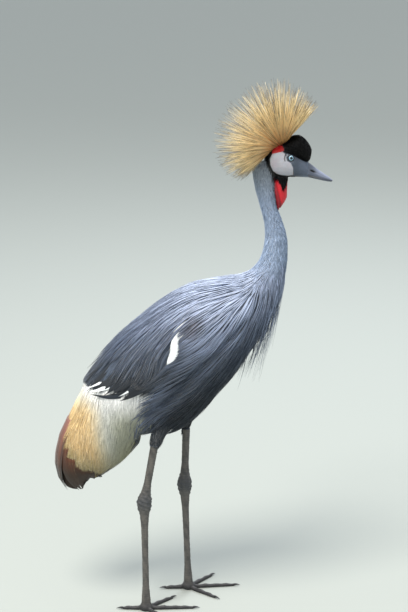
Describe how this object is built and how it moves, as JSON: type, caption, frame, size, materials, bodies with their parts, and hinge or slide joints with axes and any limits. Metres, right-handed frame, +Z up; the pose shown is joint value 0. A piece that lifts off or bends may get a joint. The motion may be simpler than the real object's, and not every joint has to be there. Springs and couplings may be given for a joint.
{
  "type": "grey crowned crane",
  "caption": "Still life-size model of a standing grey crowned crane with a fan of crown bristles, a red throat wattle and drooping wing plumes.",
  "frame": {"origin": "centre of the bounding box at the floor, under the belly between the two feet", "axes": "+X the way the bird faces (bill), +Y its left side, +Z up"},
  "size_m": [0.5145, 0.2378, 1.0065],
  "materials": {
    "neck_plumage": "skin under short pale blue-grey feathers, matt",
    "body_plumage": "skin under slate-grey feathers, matt",
    "wing_plumage": "long slate-grey feathers with pale shafts",
    "pale_plumes": "silky white to golden plumes",
    "chestnut_plumes": "broad chestnut flight feathers, faint sheen",
    "black_plumage": "velvety black feathers",
    "crest_bristles": "stiff straw-coloured bristles",
    "face_skin": "bare skin, pale on the cheeks",
    "bill_horn": "smooth dark horn",
    "wattle_skin": "soft red wrinkled skin",
    "leg_skin": "scaly dark skin",
    "claw_horn": "smooth black horn",
    "eye_iris": "wet pale blue eye"
  },
  "bodies": {
    "root": {"head": "face_skin", "bill_upper": "bill_horn", "bill_lower": "bill_horn", "eye_right": "eye_iris", "eye_left": "eye_iris", "forehead_cap": "black_plumage", "crest": "crest_bristles", "wattle": "wattle_skin", "neck_upper": "neck_plumage", "neck_lower": "neck_plumage", "trunk": "body_plumage", "breast_plumes": "wing_plumage", "tail": "black_plumage", "wing_right": "wing_plumage", "wing_right_plumes": "pale_plumes", "wing_right_secondaries": "chestnut_plumes", "wing_right_primaries": "black_plumage", "leg_right_thigh": "body_plumage", "leg_right_shank": "leg_skin", "leg_right_tarsus": "leg_skin", "foot_right": "leg_skin", "toe_right_middle": "leg_skin", "claw_right_middle": "claw_horn", "toe_right_inner": "leg_skin", "claw_right_inner": "claw_horn", "toe_right_outer": "leg_skin", "claw_right_outer": "claw_horn", "toe_right_hind": "leg_skin", "claw_right_hind": "claw_horn", "wing_left": "wing_plumage", "wing_left_plumes": "pale_plumes", "wing_left_secondaries": "chestnut_plumes", "wing_left_primaries": "black_plumage", "leg_left_thigh": "body_plumage", "leg_left_shank": "leg_skin", "leg_left_tarsus": "leg_skin", "foot_left": "leg_skin", "toe_left_middle": "leg_skin", "claw_left_middle": "claw_horn", "toe_left_inner": "leg_skin", "claw_left_inner": "claw_horn", "toe_left_outer": "leg_skin", "claw_left_outer": "claw_horn", "toe_left_hind": "leg_skin", "claw_left_hind": "claw_horn"}
  },
  "joints": []
}
